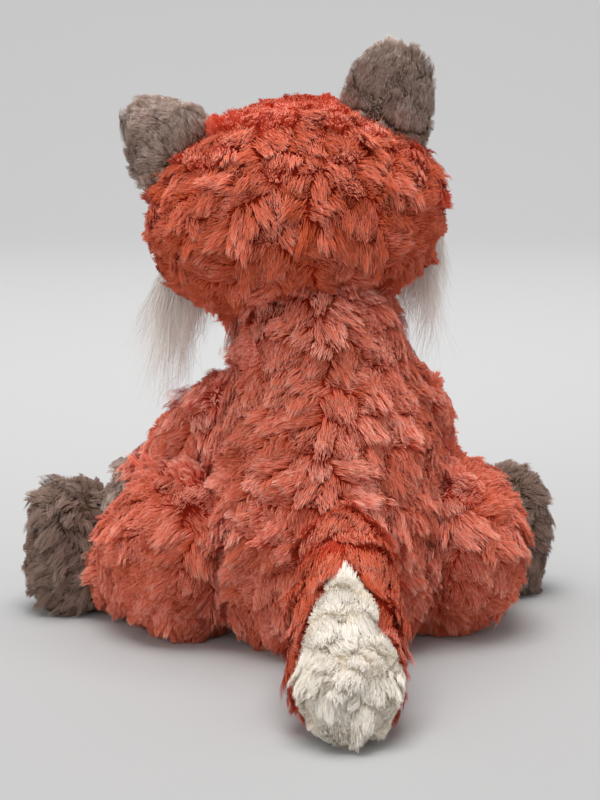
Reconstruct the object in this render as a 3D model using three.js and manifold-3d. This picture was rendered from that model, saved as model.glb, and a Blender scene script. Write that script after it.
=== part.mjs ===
// Sitting plush fox. A pear-shaped torso sits on a bag of pellets, a wide head is rolled to one side,
// and the ears, arms, legs and tail each hang from a sewn root that bends. Every stuffed form is a
// cloth cover, open where it is sewn on, round its own filling.
// Millimetres, +Z up. The toy looks along -Y, so its left is +X. The origin is the middle of the flat
// under the seat.
import * as THREE from "three";
import { mergeVertices } from "three/addons/utils/BufferGeometryUtils.js";
import Module from "manifold-3d";

const wasm = await Module();
wasm.setup();

// Cloth and making
const coverWall = 3;
const seamGap = 0.3;
const turningGap = 0.9;
const floorSettle = 0.5;
const overrun = 400;

// Torso, from the seat to the base of the neck
const torsoHeight = 150;
const torsoHalfWidth = 50;
const torsoHalfDepth = 50;
const neckRadius = 36;
const neckOpeningRadius = 14;
const pouchHeight = 22;
const pouchWall = 1.2;
const pouchSpoutRadius = 6;

// Head, measured before it is rolled
const headHalfWidth = 62;
const headHalfDepth = 50;
const headHalfHeight = 45;
const headRollDeg = 8.5;

// Face: a snout panel, a nose and two bead eyes, each held by a washer behind the cloth
const snoutLength = 42;
const snoutHalfWidth = 25;
const snoutHalfHeight = 20;
const noseHalfWidth = 7.5;
const eyeRadius = 5.5;
const stemRadius = 1.6;
const stemLength = 7;
const washerRadius = 5;
const washerThickness = 1.2;

// Cheek tufts of long hair
const tuftLength = 35;
const tuftHalfWidth = 14;
const tuftHalfDepth = 4.5;

// Ears: two plies of cloth, turned out and sewn on
const earLength = 44;
const earRootDepth = 10;
const earHalfWidth = 17;
const earHalfThickness = 6;
const earFoldDeg = 15;

// Arms and paws
const armReach = 84;
const armRadius = 15;
const armRaiseDeg = 40;

// Legs and feet, turned about the vertical from the toy's left
const legReach = 88;
const legHalfWidth = 35;
const legHalfHeight = 41;
const leftLegTurnDeg = -32;
const rightLegTurnDeg = -118;
const legSplayDeg = 10;
const footHalfLength = 18;
const footHalfWidth = 21;
const footHalfHeight = 30.5;

// Tail
const tailReach = 112;
const tailRootHeight = 59;
const tailRadius = 18.5;
const tailWagDeg = 18;

const radians = THREE.MathUtils.degToRad;
const vector = (x, y, z) => new THREE.Vector3(x, y, z);
const joined = (solids) => solids.reduce((all, one) => all.add(one));

// Turns rows of shares into points by the three sizes that they are shares of.
function pointsOf(rowShares, [sizeX, sizeY, sizeZ], mirror = false) {
  const side = mirror ? -1 : 1;
  return rowShares.map(([x, y, z]) => vector(side * x * sizeX, y * sizeY, z * sizeZ));
}

// The smooth value of a list of shares at t, from 0 at its first to 1 at its last.
function shareAt(shares, t) {
  return new THREE.SplineCurve(shares.map((share, i) => new THREE.Vector2(i, share))).getPoint(t).y;
}

// A stuffed form: rings along a path that swell and taper, closed by a point at each end. The half
// widths lie along across and the half depths square to it. A half form keeps the side of its ply,
// 1 or -1, and is cut flat down its middle. grow moves the whole surface out, or in below zero.
function stuffedForm(form, grow = 0) {
  const { path, across, halfWidth, widthShares, halfDepth, depthShares } = form;
  const { fullness, rings, sides, ply = 0 } = form;
  const curve = new THREE.CatmullRomCurve3(path);
  const firstTurn = ply < 0 ? Math.PI : 0;
  const sideTurn = ply ? Math.PI / (sides - 1) : (2 * Math.PI) / sides;
  const vertices = [];
  const addRing = (t, count) => {
    const tangent = curve.getTangentAt(t);
    const sideways = across.clone().addScaledVector(tangent, -across.dot(tangent)).normalize();
    const outward = tangent.clone().cross(sideways);
    const centre = curve.getPointAt(t).addScaledVector(tangent, grow * (2 * t - 1));
    centre.addScaledVector(outward, (ply * seamGap) / 2);
    const closing = Math.pow(Math.max(0, 1 - Math.pow(Math.abs(2 * t - 1), fullness)), 1 / fullness);
    const width = (halfWidth * shareAt(widthShares, t) + grow) * closing;
    const depth = (halfDepth * shareAt(depthShares, t) + grow) * closing;
    for (let k = 0; k < count; k++) {
      const turn = firstTurn + k * sideTurn;
      const point = centre.clone().addScaledVector(sideways, width * Math.cos(turn));
      vertices.push(...point.addScaledVector(outward, depth * Math.sin(turn)));
    }
  };
  addRing(0, 1);
  for (let ring = 1; ring < rings; ring++) addRing((1 - Math.cos((Math.PI * ring) / rings)) / 2, sides);
  addRing(1, 1);
  const last = vertices.length / 3 - 1;
  const faces = [];
  for (let k = 0; k < sides; k++) {
    const next = (k + 1) % sides;
    faces.push(0, 1 + next, 1 + k);
    for (let ring = 1; ring < rings - 1; ring++) {
      const low = 1 + (ring - 1) * sides;
      const high = low + sides;
      faces.push(low + k, low + next, high + next, low + k, high + next, high + k);
    }
    faces.push(last, last - sides + k, last - sides + next);
  }
  const geometry = new THREE.BufferGeometry();
  geometry.setAttribute("position", new THREE.BufferAttribute(new Float32Array(vertices), 3));
  return geometry.setIndex(faces);
}

// Puts a geometry in its place and makes it a solid that can be joined and cut.
function solidOf(geometry, matrix = new THREE.Matrix4()) {
  geometry.deleteAttribute("normal");
  geometry.deleteAttribute("uv");
  const merged = mergeVertices(geometry.applyMatrix4(matrix));
  const vertProperties = new Float32Array(merged.attributes.position.array);
  const triVerts = new Uint32Array(merged.index.array);
  return new wasm.Manifold(new wasm.Mesh({ numProp: 3, vertProperties, triVerts }));
}

function geometryOf(solid) {
  const { vertProperties, triVerts } = solid.getMesh();
  const geometry = new THREE.BufferGeometry();
  geometry.setAttribute("position", new THREE.BufferAttribute(new Float32Array(vertProperties), 3));
  return geometry.setIndex(new THREE.BufferAttribute(new Uint32Array(triVerts), 1));
}

const ballSides = 24;
const ball = (radius, centre) =>
  solidOf(new THREE.SphereGeometry(radius, ballSides, ballSides / 2).translate(...centre));

// A cylinder that starts at a point and runs along a direction, from one distance to another.
function rod(radius, start, direction, from, to, sides) {
  const place = new THREE.Matrix4().compose(
    start.clone().addScaledVector(direction, (from + to) / 2),
    new THREE.Quaternion().setFromUnitVectors(vector(0, 1, 0), direction),
    vector(1, 1, 1),
  );
  return solidOf(new THREE.CylinderGeometry(radius, radius, to - from, sides), place);
}

// All the space on the far side of a plane, along its normal.
function beyond(point, normal) {
  const place = new THREE.Matrix4().compose(
    point.clone().addScaledVector(normal, overrun / 2),
    new THREE.Quaternion().setFromUnitVectors(vector(0, 0, 1), normal),
    vector(1, 1, 1),
  );
  return solidOf(new THREE.BoxGeometry(overrun, overrun, overrun), place);
}

// A neighbour as it lies, seen from a piece that has turned by an angle about its seam.
function seenTurned(solid, pivot, axis, angle) {
  const place = new THREE.Matrix4().makeTranslation(pivot);
  place.multiply(new THREE.Matrix4().makeRotationAxis(axis, -angle));
  place.multiply(new THREE.Matrix4().makeTranslation(pivot.clone().negate()));
  return solidOf(geometryOf(solid), place);
}

// What a neighbour sweeps, seen from a piece that turns from one angle to another in even steps.
function sweptBy(solid, pivot, axis, [fromDeg, toDeg], steps = 2) {
  const anglesDeg = Array.from({ length: steps + 1 }, (_, i) => fromDeg + ((toDeg - fromDeg) * i) / steps);
  return joined(anglesDeg.map((angle) => seenTurned(solid, pivot, axis, radians(angle))));
}

const cloth = (color) => new THREE.MeshStandardMaterial({ color, roughness: 0.95, metalness: 0 });
const coralPile = cloth(0xbd5a45);
const taupePile = cloth(0x78645a);
const creamPile = cloth(0xcfc6bb);
const whiteHair = cloth(0xd6ccc4);
const fibreFilling = cloth(0xe8e6e0);
const pouchCloth = cloth(0xc9c4b8);
const pellets = new THREE.MeshStandardMaterial({ color: 0xd8d8d4, roughness: 0.6, metalness: 0 });
const beadPlastic = new THREE.MeshStandardMaterial({ color: 0x17120f, roughness: 0.2, metalness: 0 });
const washerPlastic = new THREE.MeshStandardMaterial({ color: 0xe4e2dc, roughness: 0.5, metalness: 0 });

// A group that bends at a seam, inside the group that it is sewn to.
function bodyAt(parent, position, rotation = new THREE.Euler()) {
  const group = new THREE.Group();
  group.position.copy(position);
  group.rotation.copy(rotation);
  parent.add(group);
  group.updateWorldMatrix(true, false);
  return group;
}

// Adds a solid, which is worked out in the toy's frame, as a named mesh of its group.
function addPiece(group, name, solid, material) {
  const geometry = geometryOf(solid).applyMatrix4(group.matrixWorld.clone().invert());
  const mesh = new THREE.Mesh(geometry.toNonIndexed(), material);
  mesh.geometry.computeVertexNormals();
  mesh.name = name;
  group.add(mesh);
}

const fox = new THREE.Group();
const upright = vector(0, 0, 1);
const downward = vector(0, 0, -1);
const floor = beyond(vector(0, 0, 0), downward);
const innerGrow = -coverWall - seamGap;

// Torso
const torsoPathShares = [[0, 0, 0], [0, 0.06, 0.3], [0, 0.06, 0.6], [0.05, 0, 1]];
const neckLeanShare = 0.05;
const neckSinkShare = 0.4;
const torsoForm = {
  path: pointsOf(torsoPathShares, [torsoHalfWidth, torsoHalfDepth, torsoHeight]),
  across: vector(1, 0, 0),
  halfWidth: torsoHalfWidth,
  widthShares: [1.2, 1.08, 1.01, 0.99, 0.93, 0.87, 0.84],
  halfDepth: torsoHalfDepth,
  depthShares: [1.1, 1.04, 1.02, 0.95, 0.85, 0.79, 0.76],
  fullness: 3,
  rings: 12,
  sides: 18,
};
torsoForm.path.forEach((point) => (point.z -= floorSettle));
const neck = vector(neckLeanShare * torsoHalfWidth, 0, torsoHeight - neckSinkShare * neckRadius);
const torsoOuter = (grow) => solidOf(stuffedForm(torsoForm, grow)).add(ball(neckRadius + grow, neck));
const torsoSkin = torsoOuter(0).subtract(floor);
const neckOpeningSides = 20;
const neckOpening = rod(neckOpeningRadius, neck, upright, 0, overrun, neckOpeningSides);
addPiece(fox, "torso_cover", torsoSkin.subtract(torsoOuter(-coverWall)).subtract(neckOpening), coralPile);

const pouchTop = vector(0, 0, pouchHeight);
const pouchInnerTop = vector(0, 0, pouchHeight - pouchWall);
const pelletTop = vector(0, 0, pouchHeight - pouchWall - seamGap);
const fillingBase = vector(0, 0, pouchHeight + seamGap);
const pouchOuter = torsoOuter(innerGrow).subtract(beyond(pouchTop, upright));
const pouchInside = torsoOuter(innerGrow - pouchWall).subtract(beyond(pouchInnerTop, upright));
const pouchSpoutSides = 16;
const pouchSpout = rod(pouchSpoutRadius, pouchTop, upright, -2 * pouchWall, overrun, pouchSpoutSides);
addPiece(fox, "pellet_pouch", pouchOuter.subtract(pouchInside).subtract(pouchSpout), pouchCloth);
const pelletFill = torsoOuter(innerGrow - pouchWall - seamGap).subtract(beyond(pelletTop, upright));
addPiece(fox, "pellet_fill", pelletFill, pellets);
const torsoFilling = torsoOuter(innerGrow).subtract(beyond(fillingBase, downward));
addPiece(fox, "torso_filling", torsoFilling, fibreFilling);
const torsoClear = torsoOuter(seamGap);

// Head, carried by the dome of the neck, which is round so that the head can turn on it
const headSinkShare = 0.06;
const headShiftShares = [0.17, -0.24];
const headBody = bodyAt(fox, neck);
const headShift = vector(
  headShiftShares[0] * headHalfWidth,
  headShiftShares[1] * headHalfDepth,
  torsoHeight + headHalfHeight - neck.z - headSinkShare * headHalfHeight,
);
const skull = bodyAt(headBody, headShift, new THREE.Euler(0, radians(headRollDeg), 0));
const headForm = {
  path: [vector(0, 0, -headHalfHeight), vector(0, 0, headHalfHeight)],
  across: vector(1, 0, 0),
  halfWidth: headHalfWidth,
  widthShares: [0.95, 1, 1, 0.97, 0.9],
  halfDepth: headHalfDepth,
  depthShares: [0.95, 1, 1, 0.97, 0.92],
  fullness: 2.15,
  rings: 11,
  sides: 18,
};
const headOuter = (grow) => solidOf(stuffedForm(headForm, grow), skull.matrixWorld);
const headHalfSizes = vector(headHalfWidth, headHalfDepth, headHalfHeight);
const headClear = headOuter(seamGap);
const neckSocket = ball(neckRadius + turningGap, neck);

const snoutPathShares = [[0, 0.5, -0.14], [0, 1.1, -0.22], [0, 1.72, -0.3]];
const snoutShares = [1, 1.02, 0.92, 0.74, 0.62];
const snoutForm = {
  path: pointsOf(snoutPathShares, [0, -snoutLength, headHalfHeight]),
  across: vector(1, 0, 0),
  halfWidth: snoutHalfWidth,
  widthShares: snoutShares,
  halfDepth: snoutHalfHeight,
  depthShares: snoutShares,
  fullness: 2.6,
  rings: 8,
  sides: 14,
};
const snoutOuter = (grow) => solidOf(stuffedForm(snoutForm, grow), skull.matrixWorld);

// A moulded bead on a stem that passes through the cloth into a washer. place lies on the cloth and
// facing points out of it, both in the head's own frame; outer is the stuffed form that it sits on.
const beadSides = 14;
const beadRows = 8;
const stemSides = 8;
const washerSides = 12;
const stemRiseShare = 0.5;
function bead(place, facing, [halfWidth, halfHeight, halfThickness], outer) {
  const start = place.clone().applyMatrix4(skull.matrixWorld);
  const direction = facing.clone().transformDirection(skull.matrixWorld);
  const dome = new THREE.Matrix4().compose(
    start,
    new THREE.Quaternion().setFromUnitVectors(upright, direction),
    vector(halfWidth, halfHeight, halfThickness),
  );
  const button = solidOf(new THREE.SphereGeometry(1, beadSides, beadRows), dome).subtract(outer(seamGap));
  const stem = rod(stemRadius, start, direction, -stemLength, stemRiseShare * halfThickness, stemSides);
  const washerBack = innerGrow - washerThickness - seamGap;
  const hole = rod(stemRadius + seamGap, start, direction, -stemLength - seamGap, overrun, stemSides);
  const washer = rod(washerRadius, start, direction, washerBack, 0, washerSides);
  return {
    button: button.add(stem),
    hole,
    washer: washer.intersect(outer(innerGrow)).subtract(hole),
    pocket: rod(washerRadius + seamGap, start, direction, washerBack - seamGap, 0, washerSides).add(hole),
  };
}

const eyeAimShares = [0.5, 0.84, 0.16];
const beadThicknessShare = 0.6;
const noseHeightShare = 0.72;
const eyes = [1, -1].map((side) => {
  const aim = vector(side * eyeAimShares[0], -eyeAimShares[1], eyeAimShares[2]);
  const place = aim.normalize().multiply(headHalfSizes);
  const facing = place.clone().divide(headHalfSizes).divide(headHalfSizes).normalize();
  return bead(place, facing, [eyeRadius, eyeRadius, beadThicknessShare * eyeRadius], headOuter);
});
const noseHalfSizes = [noseHalfWidth, noseHeightShare * noseHalfWidth, beadThicknessShare * noseHalfWidth];
const nose = bead(snoutForm.path[2], vector(0, -1, 0), noseHalfSizes, snoutOuter);
const beadsOf = (key) => joined([...eyes, nose].map((one) => one[key]));

const headShell = headOuter(0).subtract(headOuter(-coverWall)).subtract(neckSocket);
addPiece(skull, "head_cover", headShell.subtract(beadsOf("hole")), coralPile);
const headFilling = headOuter(innerGrow).subtract(neckSocket).subtract(beadsOf("pocket"));
addPiece(skull, "head_filling", headFilling, fibreFilling);
const snoutShell = snoutOuter(0).subtract(snoutOuter(-coverWall)).subtract(headClear);
addPiece(skull, "muzzle_cover", snoutShell.subtract(nose.hole), creamPile);
const snoutFilling = snoutOuter(innerGrow).subtract(headClear).subtract(nose.pocket);
addPiece(skull, "muzzle_filling", snoutFilling, fibreFilling);
addPiece(skull, "nose", nose.button, beadPlastic);
addPiece(skull, "nose_washer", nose.washer, washerPlastic);
["left", "right"].forEach((name, i) => {
  addPiece(skull, name + "_eye", eyes[i].button, beadPlastic);
  addPiece(skull, name + "_eye_washer", eyes[i].washer, washerPlastic);
});

// Hair hangs straight down from the jaw, whichever way the head is rolled.
const tuftRootShares = [[0.82, -0.3, -0.42]];
const tuftHangShares = [[-0.05, 0, 0.2], [0.08, -0.03, -0.4], [0.3, -0.05, -1]];
[["left", false], ["right", true]].forEach(([name, mirror]) => {
  const [root] = pointsOf(tuftRootShares, headHalfSizes.toArray(), mirror);
  root.applyMatrix4(skull.matrixWorld);
  const hang = pointsOf(tuftHangShares, [tuftLength, tuftLength, tuftLength], mirror);
  const tuftForm = {
    path: hang.map((point) => point.add(root)),
    across: vector(1, 0, 0),
    halfWidth: tuftHalfWidth,
    widthShares: [0.9, 1, 0.85, 0.6, 0.35],
    halfDepth: tuftHalfDepth,
    depthShares: [1, 1, 0.85, 0.6, 0.4],
    fullness: 2.4,
    rings: 8,
    sides: 12,
  };
  addPiece(skull, name + "_cheek_tuft", solidOf(stuffedForm(tuftForm)).subtract(headClear), whiteHair);
});

// Ears: a furry back ply and a lining, sewn edge to edge and folded at the root
const earPlaceShares = [[0.69, 0.1, 0.69]];
const earBowShare = 0.06;
const earPlies = [
  ["cover", -1, taupePile],
  ["lining", 1, creamPile],
];
function addEar(name, mirror, leanDirection, across) {
  const [base] = pointsOf(earPlaceShares, headHalfSizes.toArray(), mirror);
  const ear = bodyAt(skull, base);
  const lean = leanDirection.clone().normalize();
  const along = (distance) => lean.clone().multiplyScalar(distance);
  const middle = along(earLength / 2 - earRootDepth).add(vector(0, earBowShare * earLength, 0));
  const pivot = base.clone().applyMatrix4(skull.matrixWorld);
  const axis = across.clone().addScaledVector(lean, -across.dot(lean)).normalize();
  axis.transformDirection(skull.matrixWorld);
  const headSweep = sweptBy(headClear, pivot, axis, [-earFoldDeg, earFoldDeg]);
  for (const [plyName, ply, material] of earPlies) {
    const earForm = {
      path: [along(-earRootDepth), middle, along(earLength - earRootDepth)],
      across,
      halfWidth: earHalfWidth,
      widthShares: [1.06, 1.06, 1, 0.9, 0.75],
      halfDepth: earHalfThickness,
      depthShares: [1, 1, 0.95, 0.85, 0.7],
      fullness: 3,
      rings: 8,
      sides: 9,
      ply,
    };
    const plySolid = solidOf(stuffedForm(earForm), ear.matrixWorld).subtract(headSweep);
    addPiece(ear, name + "_ear_" + plyName, plySolid, material);
  }
}
addEar("left", false, vector(0.66, -0.52, 0.53), vector(-0.53, 0, 0.66));
addEar("right", true, vector(-0.36, -0.06, 0.93), vector(-0.9, 0, -0.42));

// A limb's form cut at a seam line: the coral cover on the root side, the sewn-on end in another
// cloth, and one filling. outer is the limb's own form; cut is what it must stay clear of.
function addLimb(group, [rootName, endName, fillingName], outer, cut, seam, endCloth) {
  const shell = outer(0).subtract(outer(-coverWall)).subtract(cut).subtract(floor);
  const endSide = (offset) =>
    seam.normals
      .map((normal) => beyond(seam.point.clone().addScaledVector(normal, offset), normal))
      .reduce((all, one) => all.intersect(one));
  addPiece(group, rootName, shell.subtract(endSide(-seamGap / 2)), coralPile);
  addPiece(group, endName, shell.intersect(endSide(seamGap / 2)), endCloth);
  addPiece(group, fillingName, outer(innerGrow).subtract(cut), fibreFilling);
}

// Legs: a full haunch against the torso, a narrow ankle and an upright foot, which is sewn on round
// its heel
const hipShares = [[0.9, 0.04, 0]];
const haunchSideShare = 0.12;
const legPathShares = [[-0.14, 1, 0.95], [0.06, 1, 1], [0.48, -1, 0.72], [0.72, -1, 0.52], [0.94, 0, 0.55]];
const heelShare = 1.1;
const hipSizes = [torsoHalfWidth, torsoHalfDepth, 0];
const splays = [-legSplayDeg, legSplayDeg];
const legPlaces = [["left", false, leftLegTurnDeg], ["right", true, rightLegTurnDeg]];
const legs = legPlaces.map(([name, mirror, turnDeg]) => {
  const [hip] = pointsOf(hipShares, hipSizes, mirror);
  const leg = bodyAt(fox, hip, new THREE.Euler(0, 0, radians(turnDeg)));
  const haunchSide = (mirror ? -1 : 1) * haunchSideShare * legHalfWidth;
  const legForm = {
    path: pointsOf(legPathShares, [legReach, haunchSide, legHalfHeight]),
    across: vector(0, 1, 0),
    halfWidth: legHalfWidth,
    widthShares: [0.98, 1.02, 0.98, 0.7, 0.5, 0.46],
    halfDepth: legHalfHeight,
    depthShares: [0.95, 1, 0.96, 0.7, 0.49, 0.44],
    fullness: 3,
    rings: 12,
    sides: 16,
  };
  const footForm = {
    path: [vector(legReach, 0, 0), vector(legReach, 0, 2 * footHalfHeight)],
    across: vector(0, 1, 0),
    halfWidth: footHalfWidth,
    widthShares: [0.95, 1, 1],
    halfDepth: footHalfLength,
    depthShares: [1.06, 1, 0.94],
    fullness: 3.2,
    rings: 8,
    sides: 14,
  };
  [...legForm.path, ...footForm.path].forEach((point) => (point.z -= floorSettle));
  const outer = (grow) =>
    joined([legForm, footForm].map((form) => solidOf(stuffedForm(form, grow), leg.matrixWorld)));
  const cut = sweptBy(torsoClear, hip, upright, splays);
  const ankle = vector(legReach - heelShare * footHalfLength, 0, footHalfHeight);
  const seam = {
    point: ankle.applyMatrix4(leg.matrixWorld),
    normals: [vector(1, 0, 0).transformDirection(leg.matrixWorld)],
  };
  const names = ["_leg_cover", "_foot_cover", "_leg_filling"].map((end) => name + end);
  addLimb(leg, names, outer, cut, seam, taupePile);
  return { hip, clear: outer(turningGap) };
});

// Arms: sewn below the neck, hanging out and down to a paw that rests over the leg
const shoulderShares = [[0.8, -0.08, 0.71]];
const shoulderSizes = [torsoHalfWidth, torsoHalfDepth, torsoHeight];
const armRootShares = [[-0.17, 0.05, 0.08], [0, 0, 0]];
const leftArmPathShares = [...armRootShares, [0.19, -0.13, -0.17], [0.36, -0.27, -0.4], [0.66, -0.48, -0.72]];
const rightArmPathShares = [...armRootShares, [0, -0.22, -0.17], [0.05, -0.48, -0.38], [0.16, -0.84, -0.6]];
const armShares = [0.95, 1, 1, 0.93, 0.94, 1.08, 1.04];
const wristShare = 0.74;
const legSweepSteps = 6;
const raiseSteps = 4;
const armPaths = [["left", false, leftArmPathShares], ["right", true, rightArmPathShares]];
armPaths.forEach(([name, mirror, pathShares], i) => {
  const [shoulder] = pointsOf(shoulderShares, shoulderSizes, mirror);
  const arm = bodyAt(fox, shoulder);
  const armForm = {
    path: pointsOf(pathShares, [armReach, armReach, armReach], mirror),
    across: vector(0, 1, 0),
    halfWidth: armRadius,
    widthShares: armShares,
    halfDepth: armRadius,
    depthShares: armShares,
    fullness: 3,
    rings: 12,
    sides: 12,
  };
  const outer = (grow) => solidOf(stuffedForm(armForm, grow), arm.matrixWorld);
  const { hip, clear } = legs[i];
  const legSweep = sweptBy(clear, hip, upright, splays, legSweepSteps);
  const cut = sweptBy(torsoClear.add(legSweep), shoulder, vector(1, 0, 0), [-armRaiseDeg, 0], raiseSteps);
  const curve = new THREE.CatmullRomCurve3(armForm.path);
  const seam = {
    point: curve.getPointAt(wristShare).applyMatrix4(arm.matrixWorld),
    normals: [curve.getTangentAt(wristShare).transformDirection(arm.matrixWorld)],
  };
  const names = ["_arm_cover", "_paw_cover", "_arm_filling"].map((end) => name + end);
  addLimb(arm, names, outer, cut, seam, taupePile);
});

// Tail: sewn to the rump, down to the floor, with a pale tip let in from above
const tailRootShares = [[-0.17, 0.92, 1]];
const tailFallShares = [[0, 0.3, -0.18], [0, 0.59, -0.6], [0, 0.84, -1], [0, 1, -1]];
const tailPathShares = [[0, -0.11, 0.04], [0, 0, 0], ...tailFallShares];
const tipSeamShares = [[0, 0.5, -0.2]];
const [tailRoot] = pointsOf(tailRootShares, [torsoHalfWidth, torsoHalfDepth, tailRootHeight]);
const tail = bodyAt(fox, tailRoot);
const tailDrop = tailRootHeight - tailRadius + floorSettle;
const tailForm = {
  path: pointsOf(tailPathShares, [0, tailReach, tailDrop]),
  across: vector(1, 0, 0),
  halfWidth: tailRadius,
  widthShares: [0.7, 0.74, 0.88, 1, 1.02, 1.02],
  halfDepth: tailRadius,
  depthShares: [0.7, 0.74, 0.88, 1, 1, 1],
  fullness: 3.3,
  rings: 12,
  sides: 14,
};
const tailOuter = (grow) => solidOf(stuffedForm(tailForm, grow), tail.matrixWorld);
const tailCut = sweptBy(torsoClear, tailRoot, upright, [-tailWagDeg, tailWagDeg]);
const [tipPoint] = pointsOf(tipSeamShares, [0, tailReach, tailDrop]);
const tipSeam = {
  point: tipPoint.applyMatrix4(tail.matrixWorld),
  normals: [vector(1, 0.5, 0.22).normalize(), vector(-1, 0.5, 0.22).normalize()],
};
const tailNames = ["tail_cover", "tail_tip_cover", "tail_filling"];
addLimb(tail, tailNames, tailOuter, tailCut, tipSeam, creamPile);

export default fox;
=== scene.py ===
# The looks of a sitting plush fox, built round its construction. Metres, +Z up, the toy looks along -Y.
import math

import bmesh
import bpy
import numpy as np
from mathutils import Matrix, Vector, noise
from mathutils.bvhtree import BVHTree
from mathutils.kdtree import KDTree


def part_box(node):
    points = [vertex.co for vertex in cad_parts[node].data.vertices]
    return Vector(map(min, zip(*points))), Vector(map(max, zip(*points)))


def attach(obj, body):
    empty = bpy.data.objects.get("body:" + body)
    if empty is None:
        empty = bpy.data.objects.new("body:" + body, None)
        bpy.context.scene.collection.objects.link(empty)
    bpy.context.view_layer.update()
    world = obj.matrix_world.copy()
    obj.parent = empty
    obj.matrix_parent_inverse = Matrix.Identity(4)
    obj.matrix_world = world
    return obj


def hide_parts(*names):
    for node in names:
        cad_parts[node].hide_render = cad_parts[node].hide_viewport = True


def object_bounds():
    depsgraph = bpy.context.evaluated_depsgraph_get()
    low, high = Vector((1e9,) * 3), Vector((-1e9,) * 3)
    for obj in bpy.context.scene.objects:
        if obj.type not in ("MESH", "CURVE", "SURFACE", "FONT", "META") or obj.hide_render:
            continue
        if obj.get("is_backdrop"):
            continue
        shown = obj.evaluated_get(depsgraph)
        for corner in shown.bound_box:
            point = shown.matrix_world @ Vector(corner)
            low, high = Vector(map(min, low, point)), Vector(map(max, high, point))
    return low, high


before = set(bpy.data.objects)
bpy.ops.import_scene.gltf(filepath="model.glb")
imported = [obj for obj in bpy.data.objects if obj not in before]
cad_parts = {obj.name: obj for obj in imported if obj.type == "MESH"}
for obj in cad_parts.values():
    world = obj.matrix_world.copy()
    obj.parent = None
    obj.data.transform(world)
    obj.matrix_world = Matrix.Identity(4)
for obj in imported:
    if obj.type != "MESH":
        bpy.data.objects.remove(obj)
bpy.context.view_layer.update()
MM = 0.001

# Camera. The toy is seen from straight behind and a little above, through a long lens, and stands a
# little right of the middle of the picture and above it.
VIEW_ELEVATION_DEG = 10
VIEW_DISTANCE = 1000 * MM
VIEW_TARGET = Vector((0, 0, 120 * MM))
LENS = 100.8
SENSOR_WIDTH = 36
VIEW_SHIFT = -25 / 800
CLIP_START = 50 * MM

camera_data = bpy.data.cameras.new("camera")
camera = bpy.data.objects.new("camera", camera_data)
bpy.context.scene.collection.objects.link(camera)
tilt = math.radians(VIEW_ELEVATION_DEG)
towards_camera = Vector((0, math.cos(tilt), math.sin(tilt)))
camera.location = VIEW_TARGET + towards_camera * VIEW_DISTANCE
camera.rotation_euler = (-towards_camera).to_track_quat("-Z", "Y").to_euler()
camera_data.lens = LENS
camera_data.sensor_width = SENSOR_WIDTH
camera_data.shift_x = VIEW_SHIFT
camera_data.shift_y = VIEW_SHIFT
camera_data.clip_start = CLIP_START
bpy.context.scene.camera = camera
bpy.context.scene.view_settings.view_transform = "Standard"


# Floor and lamps. One sheet of pale paper runs under the toy and curves up behind it, under a wide
# soft lamp overhead, a soft one on the camera's side and an even sky.
# The paper's colour near the toy, and the paler colour painted on it further back between two depths:
# painted light on the far paper behind the toy.
FLOOR_COLOR = "#b5b5b5"
PAINTED_LIGHT_PAPER_COLOR = "#f4f4f4"
PAINTED_LIGHT_FROM = 0.3
PAINTED_LIGHT_TO = -1.4
BEND_STEPS = 24
SKY_STRENGTH = 0.5
TOY_MIDDLE = (0, 0, 0.1)


def linear(hex_color):
    """The linear colour of an sRGB hex value, with full alpha."""
    parts = [int(hex_color[i : i + 2], 16) / 255 for i in (1, 3, 5)]
    return tuple(c / 12.92 if c <= 0.04045 else ((c + 0.055) / 1.055) ** 2.4 for c in parts) + (1,)


def first_output(node):
    return next(socket for socket in node.outputs if socket.enabled)


def add_node(tree, kind, settings=None, inputs=None):
    """Adds a node, sets its properties, and fills or links its inputs. A node given as an input stands
    for its first output."""
    node = tree.nodes.new(kind)
    for name, value in (settings or {}).items():
        setattr(node, name, value)
    pairs = enumerate(inputs) if isinstance(inputs, list) else (inputs or {}).items()
    for name, value in pairs:
        usable = [socket for socket in node.inputs if socket.enabled]
        socket = usable[name] if isinstance(name, int) else next(s for s in usable if s.name == name)
        if isinstance(value, bpy.types.Node):
            value = first_output(value)
        if isinstance(value, bpy.types.NodeSocket):
            tree.links.new(value, socket)
        elif value is not None:
            socket.default_value = value
    return node


def new_material(name):
    """An empty node material, and its tree with the output node."""
    material = bpy.data.materials.new(name)
    material.use_nodes = True
    material.node_tree.nodes.clear()
    return material, material.node_tree, add_node(material.node_tree, "ShaderNodeOutputMaterial")


def new_object(name, mesh):
    made = bpy.data.objects.new(name, mesh)
    bpy.context.scene.collection.objects.link(made)
    return made


def sweep_sheet(name, width, front, back, rise, bend, material):
    """A sheet that runs along the floor from front to back and then curves up."""
    profile = [(front, 0)]
    for i in range(BEND_STEPS + 1):
        turn = math.pi / 2 * i / BEND_STEPS
        profile.append((back - bend * math.sin(turn), bend * (1 - math.cos(turn))))
    profile.append((back - bend, rise))
    mesh = bpy.data.meshes.new(name)
    points = [(side * width / 2, y, z) for y, z in profile for side in (1, -1)]
    quads = [(2 * i, 2 * i + 1, 2 * i + 3, 2 * i + 2) for i in range(len(profile) - 1)]
    mesh.from_pydata(points, [], quads)
    mesh.materials.append(material)
    mesh.shade_smooth()
    return new_object(name, mesh)
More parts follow.
